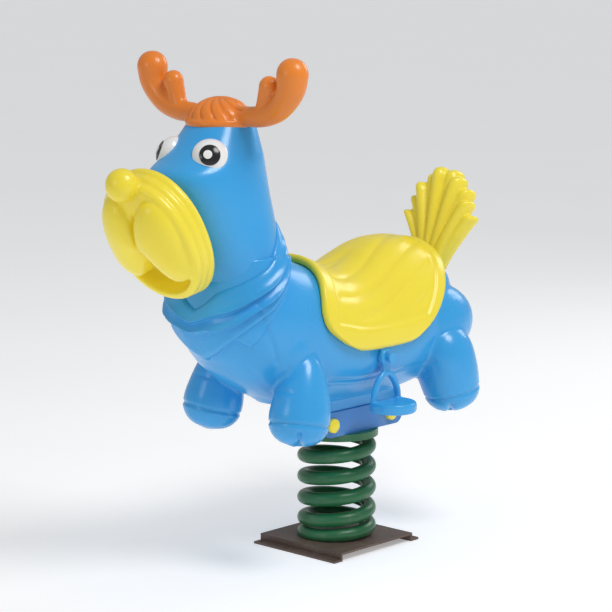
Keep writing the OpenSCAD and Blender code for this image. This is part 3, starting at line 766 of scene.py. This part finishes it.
def limb(bm, path, side):
    """A beam that follows its path and ends in a dome."""
    last = path[-1][0]

    def outline(at, angle):
        x, z, r = follow(path, min(at, last))
        ahead, behind = follow(path, min(at, last) + 0.02), follow(path, min(at, last) - 0.02)
        if at >= last:
            ahead = (x, z)
            behind = follow(path, last - 0.04)
        way = Vector((ahead[0] - behind[0], 0, ahead[1] - behind[1])).normalized()
        past = min(max(at - last, 0), 1) * math.pi / 2
        r *= math.cos(past * 0.96)
        spot = Vector((x, cap_y, z)) + way * path[-1][3] * math.sin(past)
        across = Vector((way.z, 0, -way.x))
        point = spot + across * r * math.cos(angle) + Vector((0, 0.92 * r * math.sin(angle), 0))
        point.x *= side
        return point

    ring_loft(bm, steps(0, last + 1, 12 * (len(path) + 1)), outline, 36)


tuft_r = 66
strand_depth = 4.2


def cap_relief(point):
    """Combed strands that swirl from the brim to the top of the tuft."""
    flat = Vector((point.x, point.y - cap_y))
    up = point.z - cap_low
    if flat.length > tuft_r or up < 12:
        return 0
    turn = math.atan2(flat.y, flat.x)
    strand = math.cos(6.5 * turn + up / 11)
    return -strand_depth * (1 - abs(strand)) ** 2 * step(12, 20, up) * step(4, 16, flat.length)


bm = bmesh.new()
ring_loft(bm, [(0, 57), (2, 60.5), (7, 62), (12, 60), (14, 55)],
          lambda s, a: Vector((s[1] * math.cos(a), cap_y + s[1] * math.sin(a),
                               cap_low + s[0] + 2 * math.cos(a) ** 2)), 64)
lump(bm, (0, cap_y, cap_low + 5), (60, 57, 47))
for side in (-1, 1):
    limb(bm, beam, side)
    limb(bm, tine, side)
bmesh.ops.recalc_face_normals(bm, faces=bm.faces)
cap_skin = melt(bm, 2.2, 5)
carve(cap_skin, cap_relief)
finish_piece("cap_moulding", cap_skin, orange_plastic, "rider",
             ["antler_cap"])


# ---- Saddle ---------------------------------------------------------------------------
# A yellow moulded shell screwed down on the back: raised rim, high cantle, a dished seat
# with sweeping grooves, and a flap down each side.
# Round from the top in degrees: front edge, rear edge.
saddle_plan = [(0, -128, 226), (20, -132, 219), (40, -143, 203), (60, -158, 178),
               (74, -164, 152), (84, -152, 124), (90, -118, 92), (94, -72, 48)]
# Along Y: height of the crown over the body's back.
saddle_crown = [(-175, 8), (-130, 5), (-95, 3), (-40, 3), (7, 14), (43, 28), (79, 36),
                (131, 35), (173, 32), (200, 29), (226, 22)]
saddle_reach = 94
shell_thick = 13
seat_dip = 5
groove_depth = 3.6
edge_round = 8


def saddle_place(column, row, grow, crown):
    """A point over the barrel from -1 to 1 across and from 0 to 1 back."""
    degrees = column * saddle_reach
    front, rear = follow(saddle_plan, abs(degrees))
    y = front + (rear - front) * row
    angle = math.radians(90 - degrees)
    low, top, half = follow(barrel, y)
    rise = crown * follow(saddle_crown, y)[0] * max(math.cos(math.radians(degrees)), 0) ** 2
    return Vector(((half + grow) * power(math.cos(angle), 0.86), y,
                   (top + low) / 2 + ((top - low) / 2 + grow) * power(math.sin(angle), 0.9)
                   + rise))


def saddle_relief(column, row):
    """The rounded outer edge, the raised rim inside it and the grooves of the seat."""
    degrees = abs(column) * saddle_reach
    front, rear = follow(saddle_plan, degrees)
    edge = min(row * (rear - front), (1 - row) * (rear - front), (saddle_reach - degrees) * 2.1)
    rim = step(36, 27, edge)
    swirl = math.cos(degrees / 7.5 + 4.4 * row * row + 2.6 * row)
    groove = groove_depth * (1 - abs(swirl)) ** 1.5 * step(38, 54, edge)
    round_off = edge_round * (1 - math.sqrt(max(1 - (1 - min(edge / edge_round, 1)) ** 2, 0)))
    return shell_thick - seat_dip * (1 - rim) - groove - round_off


bm = bmesh.new()
bmesh.ops.create_grid(bm, x_segments=170, y_segments=150, size=1)
across = bm.verts.layers.float.new("across")
along = bm.verts.layers.float.new("along")
for vert in bm.verts:
    vert[across] = vert.co.x
    vert[along] = (vert.co.y + 1) / 2
lining = bmesh.ops.extrude_face_region(bm, geom=bm.faces[:])["geom"]
lining = {g for g in lining if isinstance(g, bmesh.types.BMVert)}
for vert in bm.verts:
    if vert in lining:
        vert.co = saddle_place(vert[across], vert[along], 1.5, 0)
    else:
        relief = saddle_relief(vert[across], vert[along])
        vert.co = saddle_place(vert[across], vert[along], relief, 1)
finish_piece("saddle_shell", bm, yellow_plastic, "rider", ["saddle"])


# ---- Tail -----------------------------------------------------------------------------
# A yellow moulding bolted to the rump: a fan of rounded strands with blunt stepped ends.
tail_root = Vector((0, 263, 492))
tail_lean = math.radians(17)
# Each strand: spread at the tip, length, fore-aft place, radius.
strands = [(-78, 104, 2, 15), (-70, 134, 8, 16), (-52, 160, -3, 17), (-32, 180, 7, 18),
           (-10, 192, -4, 18.5), (14, 190, 7, 18.5), (36, 176, -4, 18), (54, 156, 7, 17),
           (68, 132, -3, 16), (76, 106, 6, 15)]


def tail_point(across, up, back):
    return tail_root + Vector((across, back * math.cos(tail_lean) + up * math.sin(tail_lean),
                               up * math.cos(tail_lean) - back * math.sin(tail_lean)))


bm = bmesh.new()
for spread, length, back, r in strands:
    def strand_outline(at, angle):
        size = follow([(0, 15), (0.3, 15), (0.85, r), (0.93, r), (0.98, r * 0.78),
                       (1, r * 0.4)], at)[0]
        return tail_point(spread * (0.22 + 0.78 * at ** 1.3) + 0.86 * size * math.cos(angle),
                          length * at, back + 1.3 * size * math.sin(angle))

    ring_loft(bm, steps(0, 1, 48), strand_outline, 28)
lump(bm, tail_point(0, 6, -4), (24, 24, 20))
finish_piece("tail_moulding", melt(bm, 2.3, 2), yellow_plastic, "rider",
             ["tail"])


# ---- Stirrups -------------------------------------------------------------------------
# Blue mouldings bolted to the flanks: a strap from under the saddle, a round boss, an
# arch, and a thick foot plate with a rounded front. Each bolt's head is painted blue.
coat_node("stirrup_bolts", blue_plastic)
stirrup_y = -5
foot_plate = 19
foot_width = 43
stirrup_boss = 15
for side, name in ((1, "stirrup_left"), (-1, "stirrup_right")):
    low, high = (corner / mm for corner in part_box(name))
    inner = min(abs(low.x), abs(high.x))
    outer = max(abs(low.x), abs(high.x))
    tread_top = low.z + foot_plate
    bm = bmesh.new()
    ring_loft(bm, [(0, 0.93), (3, 1), (15, 1), (foot_plate, 0.95)],
              lambda s, a: Vector((side * max(inner + 2, inner + 22 + (outer - inner - 22)
                                              * s[1] * math.sin(a)),
                                   stirrup_y + foot_width * s[1] * math.cos(a), low.z + s[0])), 64)
    arch = [(0, -33, tread_top - 4, 6.5), (1, -30, tread_top + 18, 6.5),
            (2, -17, tread_top + 40, 6.5), (3, 0, tread_top + 50, 7),
            (4, 17, tread_top + 40, 6.5), (5, 30, tread_top + 18, 6.5),
            (6, 33, tread_top - 4, 6.5)]
    ring_loft(bm, steps(0, 6, 60),
              lambda s, a: Vector((side * (inner + 7 + 6 * math.sin(a)),
                                   stirrup_y + follow(arch, s)[0]
                                   * (1 + 0.19 * math.cos(a)),
                                   follow(arch, s)[1] + 6.5 * math.cos(a)
                                   * math.sin(math.pi * s / 6))), 24)
    lump(bm, (side * (inner + 7), stirrup_y, tread_top + 62), (5, 9, 16))
    ring_loft(bm, [(0, stirrup_boss), (9, stirrup_boss), (12, 12)],
              lambda s, a: Vector((side * (inner + s[0]), stirrup_y + s[1] * math.cos(a),
                                   high.z - 25 + s[1] * math.sin(a))), 40)
    block(bm, (side * (inner + 4), stirrup_y, high.z - 8), (8, 24, 34))
    bmesh.ops.recalc_face_normals(bm, faces=bm.faces)
    finish_piece(name + "_moulding", melt(bm, 1.6, 3), blue_plastic, "rider",
                 [name])
